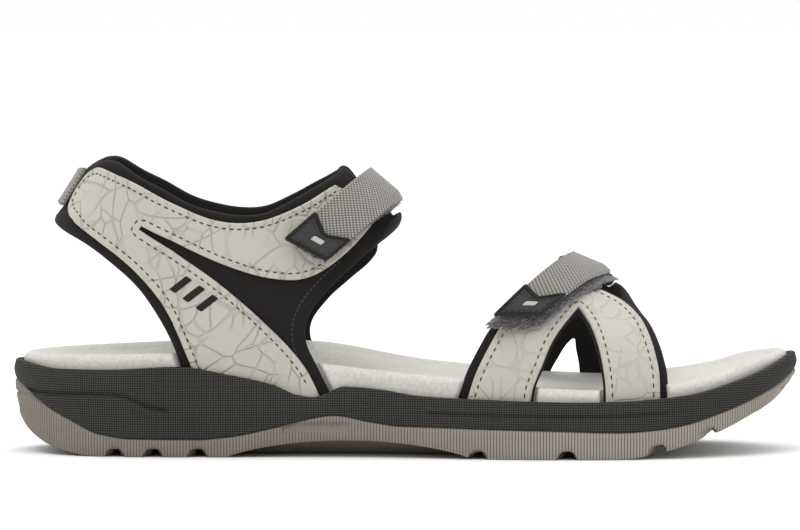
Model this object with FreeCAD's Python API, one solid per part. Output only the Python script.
"""Strappy sport sandal for a right foot, in millimetres.

+X points to the toe, +Y to the inner (medial) side and +Z up. The origin is on the ground at the middle of the
sole's length and width. Every soft layer follows one foot surface: a row of half-ellipse arches from the ground
edge of the foot to its ridge, closed round the heel by a half ellipse in plan.
"""

import FreeCAD, Part

import math
import os

V = FreeCAD.Vector

# Sole, from the ground up.
LENGTH = 265.0
HALF_WIDTH = 47.0
RIM = 2.6  # width of the midsole's raised rim
GLUE_GAP = 0.05  # modelled gap at a glued face
BOARD = 1.5
COVER = 0.8
POCKET_GAP = 0.2
PAST_END = 4.0

# Layers of the upper, as heights above the foot surface.
LINING = (0.0, 2.5)
OVERLAY = (2.6, 4.0)
HEEL_WEB = (3.0, 4.8)
FORE_LINING = (0.0, 1.8)
FORE_OVERLAY = (1.9, 3.2)
UPPER_INSET = RIM + 2 * POCKET_GAP + OVERLAY[1]  # foot surface to sole outline, at the ground edge
SLOT_GAP = 0.25  # room around a panel where it passes down beside the footbed
RECESS_LAYER = (-SLOT_GAP, OVERLAY[1] + 1.5)

# Hook-and-loop straps.
WEB = 1.2  # thickness of the webbing
PILE = 1.15
LAYER_GAP = 0.05
BAR_R = 1.2
BAR_PLAY = 0.08
RING_REACH = 8.0  # distance between the ring's two bars
RING_MARGIN = 0.5  # from the webbing's edge to the ring's side bar
TAB = 1.8  # thickness of the rubber pull tab
TAB_LENGTH = 12.5
ROOM = 0.1  # clearance under the pieces sewn to the upper
ROOM_HEIGHT = 8.0
ROOM_ANGLE = 1.5

# Reach of the rear foot surface.
HEEL_CENTRE_X = -78.0
HEEL_SHARE = 0.42  # share of turn that lies in the heel's half ellipse
FRONT_X = 6.0
LOW_Z = 17.0


def smooth(points):
    """A smooth function through (x, value) points, flat beyond both ends."""
    xs = [p[0] for p in points]
    ys = [p[1] for p in points]
    n = len(xs)
    chord = [(ys[i + 1] - ys[i]) / (xs[i + 1] - xs[i]) for i in range(n - 1)]
    slope = [chord[0]] + [0.0] * (n - 2) + [chord[-1]]
    for i in range(1, n - 1):
        if chord[i - 1] * chord[i] > 0:
            slope[i] = 2 * chord[i - 1] * chord[i] / (chord[i - 1] + chord[i])

    def value(x):
        if x <= xs[0]:
            return ys[0]
        if x >= xs[-1]:
            return ys[-1]
        i = max(k for k in range(n - 1) if xs[k] <= x)
        h = xs[i + 1] - xs[i]
        t = (x - xs[i]) / h
        return (
            ys[i] * (1 + 2 * t) * (1 - t) ** 2
            + slope[i] * h * t * (1 - t) ** 2
            + ys[i + 1] * t * t * (3 - 2 * t)
            + slope[i + 1] * h * t * t * (t - 1)
        )

    return value


# Plan outline of the sole: distance from the centre line on each side.
OUTER_SIDE = [(-130, 10), (-123, 20), (-111, 28.5), (-92, 34), (-60, 35.2), (-30, 35.5), (0, 39), (28, 44.8),
              (50, HALF_WIDTH), (70, 46.4), (90, 42), (106, 34.5), (119, 24), (128, 11.5)]
INNER_SIDE = [(-130, 10), (-123, 20), (-111, 28.5), (-92, 33.5), (-60, 33), (-30, 31.5), (0, 34), (28, 41),
              (50, 45.8), (66, HALF_WIDTH), (84, 45.8), (100, 41.5), (114, 34), (124.5, 24), (130.5, 13)]
TOE_TIP_Y = 1.5

# Side profile of the sole, as heights over x.
GROUND_TOE = [(72, 0), (86, 2.2), (100, 6.4), (114, 12.4), (124, 17.8), (LENGTH / 2, 25.5)]
GROUND_HEEL = [(-105, 0), (-112, 0.9), (-120, 3.2), (-126, 6.7), (-130.5, 12.0), (-LENGTH / 2, 19.0)]
PARTING = [(-LENGTH / 2, 24.8), (-127, 20.7), (-120.6, 15.9), (-112, 11.5), (-103.7, 7.8), (-92, 6.2),
           (-70, 6.1), (-58, 7.2), (-42, 10.6), (-24, 14.3), (-12, 12.2), (-2, 10.9), (15, 10.5), (52, 9.7), (72, 9.2),
           (84, 9.9), (94, 11.4), (104, 14.3), (114, 17.8), (127, 23.8), (LENGTH / 2, 27.8)]
RIM_TOP = [(-LENGTH / 2, 31.2), (-117, 29.2), (-100, 29.4), (-76, 30.5), (-60, 27.9), (-45, 24.6), (-36, 20.9),
           (-31.5, 20.3), (-27, 21.5), (-21, 24.0), (-9, 23.1), (5, 21.0), (30, 20.0), (60, 19.3), (80, 20.0),
           (96, 21.5), (114, 26.0), (124, 29.4), (LENGTH / 2, 33.4)]
POCKET_FLOOR = [(-LENGTH / 2, 24.5), (-100, 23.5), (-70, 22.0), (-45, 18.6), (-28, 17.4), (-10, 16.8),
                (20, 15.2), (60, 14.3), (90, 16.2), (114, 21.2), (LENGTH / 2, 28.5)]
FOOTBED_TOP = [(-LENGTH / 2, 33.6), (-100, 34.3), (-76, 34.9), (-50, 33.6), (-25, 31.0), (0, 28.2), (20, 26.6),
               (46, 24.0), (66, 23.2), (90, 24.9), (107, 27.7), (120, 31.6), (LENGTH / 2, 34.2)]

# Foot surface: ridge height over x and the height where its sides stand upright.
RIDGE = smooth([(-95, 205), (-75, 190), (-60, 160), (-45, 131), (-30, 107), (-20, 94), (-11.8, 84.1), (-4, 78),
                (10, 71), (30, 65), (60.2, 56.9), (90, 44.5), (110, 38)])
TOP_Z = smooth([(-40, 104), (-31, 102.8), (-25, 98.2), (-20, 92.9), (-11.8, 83.2), (-4, 77.2), (10, 70.3)])
WIDEST_Z = smooth([(-80, 28), (-30, 24), (0, 22), (60, 20), (110, 24)])
HEEL_BACK_X = smooth([(20, -116), (55, -117.5), (70, -117.8), (77.5, -116.5), (83, -112.8), (95, -105.3),
                      (105, -99)])
outer_side = smooth(OUTER_SIDE)
inner_side = smooth(INNER_SIDE)

# Outlines of the upper in side view, (x, z).
LINING_TOP = [(-104.5, 97.5), (-101, 99.5), (-97, 98.7), (-88.7, 93.5), (-81.6, 90), (-72.8, 85.2),
              (-65.7, 82.9), (-55, 81.2), (-47, 82), (-36, 86.8), (-29, 91), (-20.5, 95.3), (-15.8, 94.8)]
LINING_BACK = [(-119, 77.5), (-114.5, 74.2), (-107, 70.2), (-97, 62.8), (-90, 56.3), (-83.3, 46.9), (-78.5, 38),
               (-75.5, 30)]
OUTER_LINING_FRONT = [(-25.6, 21.5), (-33.4, 38.5), (-33.6, 44), (-30.8, 50.5), (-19.8, 62.2), (-9.6, 71)]
INNER_LINING_FRONT = [(-25.6, 21.5), (-32.4, 36.5), (-32, 42), (-26.3, 50), (-12.5, 62.5), (-9, 70)]
LINING_FOOT = (-25.0, -74.4)
OUTER_ARM_END = [(-8.5, 87.0), (-1.0, 80.5), (-2.2, 76.5), (-5.0, 74.4)]
INNER_ARM_END = [(-12, 88.0), (-5.5, 80.0), (-6.0, 74.0)]
OVERLAY_TOP = [(-103.7, 96.8), (-97, 94.4), (-90, 91.3), (-76.5, 84.4), (-66, 80.1), (-56, 78.6), (-46, 80),
               (-33, 85.5), (-20, 93.8)]
OVERLAY_FRONT = [(-12, 84.5), (-9.7, 81.1), (-15.4, 72.9), (-24, 65.2), (-34, 60), (-46, 60.2), (-62, 65),
                 (-80, 73.3), (-89, 78)]
OVERLAY_LOWER_TOP = [(-89.7, 76), (-76.5, 68), (-63, 58.5), (-49.4, 46.9), (-39.2, 36.8), (-33.8, 30),
                     (-29.3, 21.2)]
OVERLAY_BACK = [(-112.5, 79), (-103.7, 72.2), (-93.5, 64.4), (-83.3, 53.4), (-76.5, 40.8), (-71.8, 29.3)]
OVERLAY_FOOT = (-28.6, -70.3)
HEEL_END = [(-114.5, 81.5), (-113.0, 88.5), (-107.5, 95.5)]

# Forefoot straps in side view: an upside-down V on each side, around a window.
OUTER_REAR_EDGE = [(20.9, 20.5), (23.6, 28.7), (28.7, 38.8), (36.5, 49.2), (50, 56.8)]
OUTER_FRONT_EDGE = [(85.3, 20.5), (84, 33.8), (79.6, 45.2), (73, 51.4), (57, 57.6)]
INNER_REAR_EDGE = [(24.5, 20.5), (28.5, 28.7), (35, 38.8), (45, 49.5), (55, 57)]
INNER_FRONT_EDGE = [(84.4, 20.5), (83.9, 33.8), (78.5, 44.5), (72, 50), (60, 57)]
INNER_LINING_EDGE = [(87.6, 20.5), (87, 34), (82, 44.5), (76.2, 50), (73, 54.5), (63, 59)]
OUTER_WINDOW = [(42.6, 23.6), (45.6, 31.1), (49.4, 39.6), (54.1, 46), (58.2, 50.2), (61.9, 45), (64.9, 36.9),
                (66.9, 25.3)]
INNER_WINDOW = [(48.9, 23.6), (51.4, 28.5), (54.6, 33.8), (57.8, 37.4), (59.2, 32.0), (60.3, 25.3)]
FORE_LINING_REAR = 3.6  # how far the lining shows behind the leather
FORE_LINING_FRONT = 3.2
WINDOW_SEAM = 0.7  # how far the lining shows inside the window
PANEL_LIFT = 0.35  # from the insole board to the panels standing on it


def save(shape, name):
    """Writes one sub-part, after checking that it is made of sound closed solids."""
    solids = [s for s in shape.Solids if abs(s.Volume) > 0.5]
    assert solids, name + " has no solid"
    for i, solid in enumerate(solids):
        if solid.Volume < 0:
            solid.reverse()
        if not solid.isValid():
            solid.fix(0.01, 0.01, 0.01)
            print(name, "solid", i, "needed healing, valid:", solid.isValid())
    result = solids[0] if len(solids) == 1 else Part.makeCompound(solids)
    result.exportStep(os.path.join("parts", name + ".step"))
    print(f"{name:28s} {len(solids)} solid, {sum(s.Volume for s in solids) / 1000:7.2f} cm3")


def curve(points):
    """A spline edge through 3-D points."""
    spline = Part.BSplineCurve()
    spline.interpolate(points)
    return spline.toShape()


# ---------------------------------------------------------------- sole


def plan_points(inset):
    """The sole's outline in plan, moved inwards by inset: a ring from the heel along the outer side."""
    ring = [(-LENGTH / 2, 0.0)]
    ring += [(x, -y) for x, y in OUTER_SIDE]
    ring += [(LENGTH / 2, TOE_TIP_Y)]
    ring += [(x, y) for x, y in reversed(INNER_SIDE)]
    moved = []
    for i, (x, y) in enumerate(ring):
        before, after = ring[i - 1], ring[(i + 1) % len(ring)]
        tx, ty = after[0] - before[0], after[1] - before[1]
        size = math.hypot(tx, ty)
        moved.append(V(x - ty / size * inset, y + tx / size * inset, 0))
    return moved


def plan_prism(inset, low=-5.0, high=50.0):
    """An upright block on the sole's outline, moved inwards by inset."""
    points = plan_points(inset)
    ring = Part.BSplineCurve()
    ring.interpolate(points, PeriodicFlag=True)
    toe = ring.parameter(points[len(OUTER_SIDE) + 1])
    halves = [ring.toShape(ring.FirstParameter, toe), ring.toShape(toe, ring.LastParameter)]
    face = Part.Face(Part.Wire(halves))
    face.translate(V(0, 0, low))
    return face.extrude(V(0, 0, high - low))


def side_prism(edges, depth=60.0, start=-60.0):
    """A block across the sandal on a closed side-view outline."""
    face = Part.Face(Part.Wire(Part.__sortEdges__(edges)))
    face.translate(V(0, start, 0))
    return face.extrude(V(0, depth - start, 0))


def side_points(points, lift=0.0):
    return [V(x, 0, z + lift) for x, z in points]


def past_ends(points, lift=0.0):
    """A side-view curve carried level past both of its ends, so that the plan outline trims it."""
    row = side_points(points, lift)
    first = V(row[0].x - PAST_END, 0, row[0].z)
    last = V(row[-1].x + PAST_END, 0, row[-1].z)
    return [Part.makeLine(first, row[0]), curve(row), Part.makeLine(row[-1], last)], first, last


def band(lower, upper, lower_lift=0.0, upper_lift=0.0):
    """A block across the sandal between two side-view curves that share their end x."""
    low, low_first, low_last = past_ends(lower, lower_lift)
    high, high_first, high_last = past_ends(upper, upper_lift)
    return side_prism(low + high + [Part.makeLine(low_last, high_last), Part.makeLine(high_first, low_first)])


TREAD_GROOVES = [-98.0, -84.0, -70.0, 24.0, 39.0, 54.3, 69.0, 84.5, 101.0]
GROOVE_R = 2.0
NOTCH_R = 3.4
NOTCH_DEPTH = 9.0
ARCH_SPAN = (-62.0, 22.0)
ARCH_RISE = 5.8
ARCH_WIDTH = 16.0
ARCH_EDGE = 35.0  # half width of the sole beside the arch recess
CUT_PAST = 4.0  # how far cutters pass the outline
GROOVE_SINK = 0.2


def make_outsole():
    heel = past_ends(list(reversed(GROUND_HEEL)))
    toe = past_ends(GROUND_TOE)
    flat = Part.makeLine(V(GROUND_HEEL[0][0], 0, 0), V(GROUND_TOE[0][0], 0, 0))
    parting, first, last = past_ends(PARTING)
    ends = [Part.makeLine(heel[1], first), Part.makeLine(toe[2], last)]
    side = side_prism(heel[0][:2] + toe[0][1:] + [flat] + parting + ends)
    body = side.common(plan_prism(0.0))
    ground = smooth([(x, z) for x, z in reversed(GROUND_HEEL)] + GROUND_TOE)
    cuts = []
    for x in TREAD_GROOVES:
        z = ground(x)
        cuts.append(Part.makeCylinder(GROOVE_R, 2 * HALF_WIDTH, V(x, -HALF_WIDTH, z - GROOVE_SINK), V(0, 1, 0)))
        for side, edge in ((-1, outer_side(x)), (1, inner_side(x))):
            start = V(x, side * (edge + CUT_PAST), z)
            cuts.append(Part.makeCylinder(NOTCH_R, NOTCH_DEPTH + CUT_PAST, start, V(0, -side, 0)))
    half = (ARCH_SPAN[1] - ARCH_SPAN[0]) / 2
    middle = (ARCH_SPAN[1] + ARCH_SPAN[0]) / 2
    radius = (half**2 + ARCH_RISE**2) / (2 * ARCH_RISE)
    for side in (-1, 1):
        start = V(middle, side * (ARCH_EDGE - ARCH_WIDTH), ARCH_RISE - radius)
        cuts.append(Part.makeCylinder(radius, ARCH_WIDTH + 2 * CUT_PAST, start, V(0, side, 0)))
    return body.cut(cuts)


def make_midsole():
    body = band(PARTING, RIM_TOP, lower_lift=GLUE_GAP).common(plan_prism(0.0))
    pocket = band(POCKET_FLOOR, [(x, 60.0) for x, _ in POCKET_FLOOR]).common(plan_prism(RIM))
    return body.cut(pocket)


def footbed_block(inset, low_lift, high_lift):
    """The space the footbed fills between the insole board and its top, moved in by inset."""
    return band(POCKET_FLOOR, FOOTBED_TOP, low_lift, high_lift).common(plan_prism(RIM + POCKET_GAP + inset))


def make_insole_board():
    base = plan_prism(RIM + POCKET_GAP)
    return band(POCKET_FLOOR, POCKET_FLOOR, GLUE_GAP, GLUE_GAP + BOARD).common(base)


def make_footbed(slots):
    """The foam core and the thin cover over its top and sides, with a recess at each strap."""
    under = 2 * GLUE_GAP + BOARD
    whole = footbed_block(0.0, under, 0.0)
    core_space = footbed_block(COVER, under - 1.0, -COVER)
    foam = footbed_block(COVER + GLUE_GAP, under, -COVER - GLUE_GAP)
    return foam.cut(slots), whole.cut(core_space).cut(slots)


# ---------------------------------------------------------------- foot surface


def surface_point(raw, u, v, lift, step_u, step_v):
    """A point of a raw surface, moved outwards along its normal."""
    across = raw(u + step_u, v) - raw(u - step_u, v)
    up = raw(u, v + step_v) - raw(u, v - step_v)
    normal = up.cross(across).normalize()
    return raw(u, v) + normal * lift


def foot_point(turn, rise, lift):
    """A point on the rear foot surface.

    turn runs from -1 (outer front) over 0 (back of the heel) to +1 (inner front); rise runs from 0 at the sole
    to 1 at the collar or beside the ridge.
    """
    return surface_point(foot_raw, turn, rise, lift, 1e-3, 1e-3)


def foot_raw(turn, rise):
    side = -1 if turn < 0 else 1
    share = abs(turn)
    if share < HEEL_SHARE:
        angle = share / HEEL_SHARE * math.pi / 2
        z = LOW_Z + rise * (TOP_Z(HEEL_CENTRE_X) - LOW_Z)
        reach = HEEL_CENTRE_X - HEEL_BACK_X(z)
        half = half_width(HEEL_CENTRE_X, z, side)
        return V(HEEL_CENTRE_X - reach * math.cos(angle), side * half * math.sin(angle), z)
    x = HEEL_CENTRE_X + (share - HEEL_SHARE) / (1 - HEEL_SHARE) * (FRONT_X - HEEL_CENTRE_X)
    z = LOW_Z + rise * (TOP_Z(x) - LOW_Z)
    return V(x, side * half_width(x, z, side), z)


def half_width(x, z, side):
    """Half width of the foot at (x, z) on the outer (-1) or inner (+1) side."""
    base = (outer_side(x) if side < 0 else inner_side(x)) - UPPER_INSET
    low = WIDEST_Z(x)
    if z <= low:
        return base
    share = (z - low) / (RIDGE(x) - low)
    return base * math.sqrt(max(0.0, 1 - share * share))


def arch_point(x, angle, lift):
    """A point on the forefoot surface: angle is 0 on the ridge, -90 at the outer edge, +90 at the inner."""
    return surface_point(arch_raw, angle, x, lift, 0.5, 0.5)


def arch_raw(angle, x):
    """Below the widest height the arch runs straight down, one millimetre a degree past 90."""
    side = -1 if angle < 0 else 1
    base = (outer_side(x) if side < 0 else inner_side(x)) - UPPER_INSET
    low = WIDEST_Z(x)
    if abs(angle) > 90:
        return V(x, side * base, low - (abs(angle) - 90))
    a = math.radians(angle)
    return V(x, base * math.sin(a), low + (RIDGE(x) - low) * math.cos(a))


def thick_patch(point, us, vs, low, high):
    """A closed solid between two lifts of a surface, over a grid of parameters."""
    layers = []
    for lift in (low, high):
        surface = Part.BSplineSurface()
        surface.interpolate([[point(u, v, lift) for v in vs] for u in us])
        layers.append(surface)
    faces = [s.toShape() for s in layers]
    u0, u1, v0, v1 = layers[0].bounds()
    for iso, value in (("uIso", u0), ("uIso", u1), ("vIso", v0), ("vIso", v1)):
        rails = [getattr(s, iso)(value).toShape() for s in layers]
        faces.append(Part.makeRuledSurface(rails[0], rails[1]))
    shell = Part.makeShell(faces)
    shell.sewShape(0.001)
    solid = Part.makeSolid(shell if shell.ShapeType == "Shell" else shell.Shells[0])
    if solid.Volume < 0:
        solid.reverse()
    return solid


def spread(start, end, count):
    return [start + (end - start) * i / (count - 1) for i in range(count)]


def rear_wrap(layer, first=-1.0, last=1.0, low=0.0, high=1.0):
    """One layer of the rear upper, all round the heel, before its outline is cut."""
    count = max(10, round((last - first) * 40))
    return thick_patch(foot_point, spread(first, last, count), spread(low, high, 16), *layer)


def outline_prism(edges, side):
    """A side-view outline run from the centre plane out to one side."""
    return side_prism(edges, depth=60.0 if side > 0 else 0.0, start=0.0 if side > 0 else -60.0)


# ---------------------------------------------------------------- rear upper

BEHIND_HEEL_X = -125.0
HEEL_WEB_TURN = 0.062  # the heel webbing's half length, as a share of the turn
HEEL_WEB_RISE = (0.745, 0.895)
HEEL_WEB_GAP = 0.004
pocket_floor = smooth(POCKET_FLOOR)


def panel_foot(start, end, sink=0.0):
    """The lower edge of a panel that stands on the insole board."""
    lift = GLUE_GAP + BOARD + PANEL_LIFT - sink
    return [V(x, 0, pocket_floor(x) + lift) for x in spread(start, end, 6)]


def closed_loop(curves):
    """Joins open edges, given as point lists in order, with straight lines into one closed outline."""
    edges = []
    for i, points in enumerate(curves):
        following = curves[(i + 1) % len(curves)][0]
        edges.append(curve(points) if len(points) > 2 else Part.makeLine(*points))
        if points[-1].distanceToPoint(following) > 1e-6:
            edges.append(Part.makeLine(points[-1], following))
    return edges


def lining_outline(front_edge, arm_end, grow):
    """Over the collar, round the arm's end, down the front edge and back up under the heel strap."""
    front = side_points((x + grow, z) for x, z in reversed(front_edge))
    back = side_points((x - grow, z) for x, z in reversed(LINING_BACK))
    foot = panel_foot(LINING_FOOT[0] + grow, LINING_FOOT[1] - grow, 2 * grow)
    behind = side_points([(BEHIND_HEEL_X, LINING_BACK[0][1]), (BEHIND_HEEL_X, LINING_TOP[0][1])])
    return closed_loop([side_points(LINING_TOP), side_points(arm_end), front, foot, back, behind])


def overlay_outline():
    """A Y lying on its side, with a slot between its two arms."""
    rows = [side_points(row) for row in (OVERLAY_TOP, OVERLAY_FRONT, OVERLAY_LOWER_TOP)]
    ends = [side_points(row) for row in (OVERLAY_BACK[::-1], HEEL_END)]
    return closed_loop(rows + [panel_foot(*OVERLAY_FOOT)] + ends)


def make_quarter_lining(layer=LINING, grow=0.0):
    """One padded strip from the outer side round the heel to the inner side."""
    wrap = rear_wrap(layer)
    outer = wrap.common(outline_prism(lining_outline(OUTER_LINING_FRONT, OUTER_ARM_END, grow), -1))
    inner = wrap.common(outline_prism(lining_outline(INNER_LINING_FRONT, INNER_ARM_END, grow), 1))
    return outer.fuse(inner)


def make_overlay(side):
    """One leather overlay, from beside the ridge to the end of the heel webbing."""
    near = HEEL_WEB_TURN + HEEL_WEB_GAP
    first, last = (-1.0, -near) if side < 0 else (near, 1.0)
    return rear_wrap(OVERLAY, first, last).common(outline_prism(overlay_outline(), side))


def make_heel_webbing():
    """A short strap across the back of the heel, between the two leather overlays."""
    return rear_wrap(HEEL_WEB, -HEEL_WEB_TURN, HEEL_WEB_TURN, *HEEL_WEB_RISE)


# ---------------------------------------------------------------- forefoot upper


def fore_wrap(layer, side):
    """One layer of the forefoot upper on one side, before its outline is cut."""
    return thick_patch(arch_point, spread(8.0, 98.0, 18), spread(side * 11.0, side * 98.0, 16), *layer)


def fore_outline(window, rear_edge, front_edge, seam=0.0, sink=0.0):
    """An upside-down V in side view around a window. seam narrows the window and sink lowers the feet."""
    behind = side_points(rear_edge)
    ahead = side_points(reversed(front_edge))
    apex = max(range(len(window)), key=lambda i: window[i][1])
    tip = (window[apex][0], window[apex][1] - 3 * seam)
    near_side = side_points([tip] + [(x + seam, z) for x, z in reversed(window[:apex])])
    far_side = side_points([(x - seam, z) for x, z in reversed(window[apex + 1 :])] + [tip])
    front_foot = panel_foot(ahead[-1].x, far_side[0].x, sink)
    rear_foot = panel_foot(near_side[-1].x, behind[0].x, sink)
    return closed_loop([behind, ahead, front_foot, far_side, near_side, rear_foot])


def moved(edge, distance):
    return [(x + distance, z) for x, z in edge]


def make_fore_lining(side, layer=FORE_LINING, grow=0.0):
    """The padded lining, wider than the leather all round."""
    window, rear = (OUTER_WINDOW, OUTER_REAR_EDGE) if side < 0 else (INNER_WINDOW, INNER_REAR_EDGE)
    front = moved(OUTER_FRONT_EDGE, FORE_LINING_FRONT) if side < 0 else INNER_LINING_EDGE
    edges = moved(rear, -FORE_LINING_REAR - grow), moved(front, grow)
    outline = fore_outline(window, *edges, WINDOW_SEAM + grow, 2 * grow)
    return fore_wrap(layer, side).common(outline_prism(outline, side))


def make_fore_overlay(side):
    window, rear = (OUTER_WINDOW, OUTER_REAR_EDGE) if side < 0 else (INNER_WINDOW, INNER_REAR_EDGE)
    front = OUTER_FRONT_EDGE if side < 0 else INNER_FRONT_EDGE
    return fore_wrap(FORE_OVERLAY, side).common(outline_prism(fore_outline(window, rear, front), side))


def footbed_recesses():
    """Room for the linings and overlays where they pass down beside the footbed."""
    quarter = make_quarter_lining(RECESS_LAYER, SLOT_GAP)
    return [quarter] + [make_fore_lining(side, RECESS_LAYER, SLOT_GAP) for side in (-1, 1)]


# ---------------------------------------------------------------- hook-and-loop straps


class Strap:
    """A webbing strap over the instep, bending round lines parallel to g, the foot's ridge direction there.

    Angles run round the strap's half ellipse from the outer side (-) to the inner side (+); 0 is the ridge.
    ends holds the angles of the fixed webbing's end, the free tip, the ring's upper bar and the keeper's end.
    """

    def __init__(self, origin, slope, half_arch, half_web, shift, twist, base, ends, pile_out):
        a = math.radians(slope)
        self.origin = V(origin[0], 0, origin[1])
        self.g = V(math.cos(a), 0, -math.sin(a))
        self.n = V(math.sin(a), 0, math.cos(a))
        self.half_arch = half_arch
        self.half_web = half_web
        self.shift = shift
        self.twist = twist
        self.base = base
        self.pile_out = pile_out
        self.anchor_angle, self.tip_angle, self.bar_angle, self.keeper_angle = ends

    def centre(self, angle, lift):
        """Point in the strap's own plane, as (y, height along n) from its origin."""
        a = math.radians(angle)
        wide, tall = self.half_arch
        ny, nn = tall * math.sin(a), wide * math.cos(a)
        size = math.hypot(ny, nn)
        return wide * math.sin(a) + lift * ny / size, tall * (math.cos(a) - 1) + lift * nn / size

    def place(self, flat, w):
        y, height = flat
        return self.origin + V(0, y, 0) + self.n * height + self.g * w

    def share_down(self, angle):
        """0 from the ridge to the inner side, growing to 1 at the free tip on the outer side."""
        return max(0.0, angle / self.tip_angle)

    def point(self, angle, w, lift):
        """A point of the strap. It drifts towards the heel and turns on its way down the outer side."""
        share = self.share_down(angle)
        turned = angle + self.twist * w * share
        return self.place(self.centre(turned, lift), w - self.shift * share**DRIFT_POWER)

    def run(self, start, end, low, high, side_edges=None):
        """A length of strap between two angles and two lifts, as wide as the webbing unless told otherwise."""
        near, far = side_edges or (-self.half_web, self.half_web)
        count = max(6, round(abs(end - start) / 6))
        return thick_patch(self.point, spread(start, end, count), spread(near, far, 4), low, high)

    def bar(self, angle):
        """Centre of a ring bar lying on the strap at this angle, in the strap's plane."""
        return self.centre(angle, self.base + WEB + BAR_PLAY + BAR_R)

    def bars(self):
        """The webbing's bar and the keeper's bar, one ring's reach apart."""
        first = self.bar(self.bar_angle)
        angle = self.bar_angle
        while math.dist(first, self.bar(angle)) < RING_REACH:
            angle += 0.01
        return first, self.bar(angle), angle

    def rod(self, flat, radius, half):
        return Part.makeCylinder(radius, 2 * half, self.place(flat, -half), self.g)

    def fold(self, bar):
        """The webbing's half turn round the ring's upper bar."""
        wide, tall = self.half_arch
        a = math.radians(self.bar_angle)
        along = V(0, wide * math.cos(a), 0) - self.n * (tall * math.sin(a))
        along.normalize()
        up = self.g.cross(along)
        middle = self.place(bar, -self.half_web)
        radii = (BAR_R + BAR_PLAY, BAR_R + BAR_PLAY + WEB)
        edges = [Part.Arc(middle + up * r, middle + along * r, middle - up * r).toShape() for r in radii]
        edges += [Part.makeLine(middle + up * s * radii[0], middle + up * s * radii[1]) for s in (-1, 1)]
        return Part.Face(Part.Wire(Part.__sortEdges__(edges))).extrude(self.g * (2 * self.half_web))


ANKLE = Strap((-11.8, 84.1), 40.0, (29.0, 50.0), 7.8, 7.5, 0.23, 4.1, (-60.5, -62.0, 26.0, 66.0), -0.6)
FORE = Strap((60.2, 56.9), 22.0, (38.0, 38.0), 7.4, 17.5, 0.53, 3.4, (-66.0, -61.0, 14.0, 48.0), 2.6)
DRIFT_POWER = 1.3
ANCHOR_STOP = 2.8  # the fixed webbing stops this far before the bar, clear of the turning fold
PATCH_MARGIN = 0.6
HOOK_LENGTH = 26.0
TAB_OVERHANG = 1.2  # how far the tab passes the webbing's tip
TAB_MARGIN = 0.3


def degrees_for(strap, angle, distance):
    """The strap angle that lies this distance along the fixed webbing from another angle."""
    sign = 1 if distance > 0 else -1
    here = strap.centre(angle, strap.base)
    found = angle
    while math.dist(here, strap.centre(found, strap.base)) < abs(distance):
        found += 0.02 * sign
    return found


def strap_parts(strap):
    """The nodes of one strap, from the sewn-down webbing to the ring on the other side."""
    base = strap.base
    pile_low = base + WEB + LAYER_GAP
    hook_low = pile_low + PILE + 2 * LAYER_GAP
    flap_low = base + WEB + 2 * (BAR_PLAY + BAR_R)
    flap = (flap_low, flap_low + WEB)
    stop = degrees_for(strap, strap.bar_angle, -ANCHOR_STOP)
    half = strap.half_web - PATCH_MARGIN
    pile_edges = (-half, strap.half_web + strap.pile_out)
    hook_end = degrees_for(strap, strap.tip_angle, HOOK_LENGTH)
    bar, keeper_bar, keeper_angle = strap.bars()
    tab_start = degrees_for(strap, strap.tip_angle, -TAB_OVERHANG)
    tab_end = degrees_for(strap, strap.tip_angle, TAB_LENGTH)
    tab_low = flap[1] + LAYER_GAP
    tab_half = strap.half_web + TAB_MARGIN
    return {
        "anchor_webbing": strap.run(strap.anchor_angle, stop, base, base + WEB),
        "loop_patch": strap.run(strap.anchor_angle + 1, stop - 2, pile_low, pile_low + PILE, pile_edges),
        "hook_patch": strap.run(strap.tip_angle, hook_end, hook_low, flap_low - LAYER_GAP, (-half, half)),
        "strap_webbing": strap.run(strap.tip_angle, strap.bar_angle, *flap).fuse(strap.fold(bar)),
        "pull_tab": strap.run(tab_start, tab_end, tab_low, tab_low + TAB, (-tab_half, tab_half)),
        "ring": make_ring(strap, bar, keeper_bar),
        "ring_keeper": make_keeper(strap, keeper_bar, keeper_angle),
    }


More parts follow.
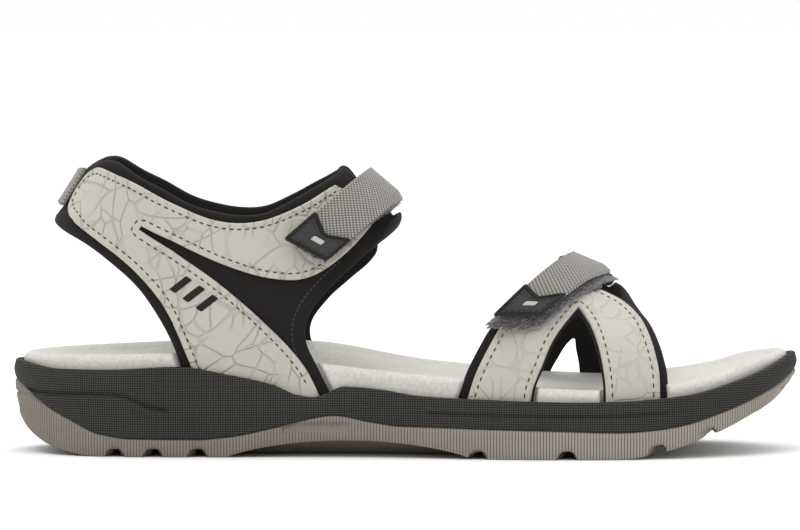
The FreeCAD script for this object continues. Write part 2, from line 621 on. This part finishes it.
def make_ring(strap, bar, keeper_bar):
    """A round-wire rectangle, built as four rods with a ball at each corner."""
    half = strap.half_web + RING_MARGIN + BAR_R
    ends = ((bar, -half), (bar, half), (keeper_bar, half), (keeper_bar, -half))
    corners = [strap.place(flat, w) for flat, w in ends]
    ring = None
    for here, following in zip(corners, corners[1:] + corners[:1]):
        along = following - here
        rod = Part.makeCylinder(BAR_R, along.Length, here, along)
        piece = rod.fuse(Part.makeSphere(BAR_R, here))
        ring = piece if ring is None else ring.fuse(piece)
    return ring


def make_keeper(strap, bar, angle):
    """A short doubled webbing sewn to the inner side, with a fold that holds the ring's lower bar."""
    base = strap.base
    outer = BAR_R + BAR_PLAY + WEB
    slab = strap.run(angle, strap.keeper_angle, base, base + 2 * WEB)
    nose = strap.rod(bar, outer, strap.half_web)
    return slab.fuse(nose).cut(strap.rod(bar, BAR_R + BAR_PLAY, strap.half_web + 1))


# ---------------------------------------------------------------- assembly


def room_for(strap):
    """The space above the upper that a strap's sewn-down pieces need."""
    low = strap.base - ROOM
    ends = strap.anchor_angle - ROOM_ANGLE, strap.keeper_angle + ROOM_ANGLE
    edge = strap.half_web + RING_MARGIN + 2 * BAR_R + TAB_MARGIN
    return strap.run(*ends, low, low + ROOM_HEIGHT, (-edge, edge))


def make_sole():
    save(make_outsole(), "outsole")
    save(make_midsole(), "midsole")
    save(make_insole_board(), "insole_board")
    foam, cover = make_footbed(footbed_recesses())
    save(foam, "footbed_foam")
    save(cover, "footbed_cover")


def make_rear_upper(room):
    save(make_quarter_lining().cut(room), "quarter_lining")
    save(make_heel_webbing(), "heel_webbing")
    for side, label in ((-1, "outer"), (1, "inner")):
        save(make_overlay(side).cut(room), label + "_quarter_overlay")


def make_fore_upper(room):
    for side, label in ((-1, "outer"), (1, "inner")):
        save(make_fore_lining(side).cut(room), label + "_forefoot_lining")
        save(make_fore_overlay(side).cut(room), label + "_forefoot_overlay")


def main():
    os.makedirs("parts", exist_ok=True)
    make_sole()
    make_rear_upper(room_for(ANKLE))
    make_fore_upper(room_for(FORE))
    for label, strap in (("ankle", ANKLE), ("forefoot", FORE)):
        for name, shape in strap_parts(strap).items():
            save(shape, label + "_" + name)


main()
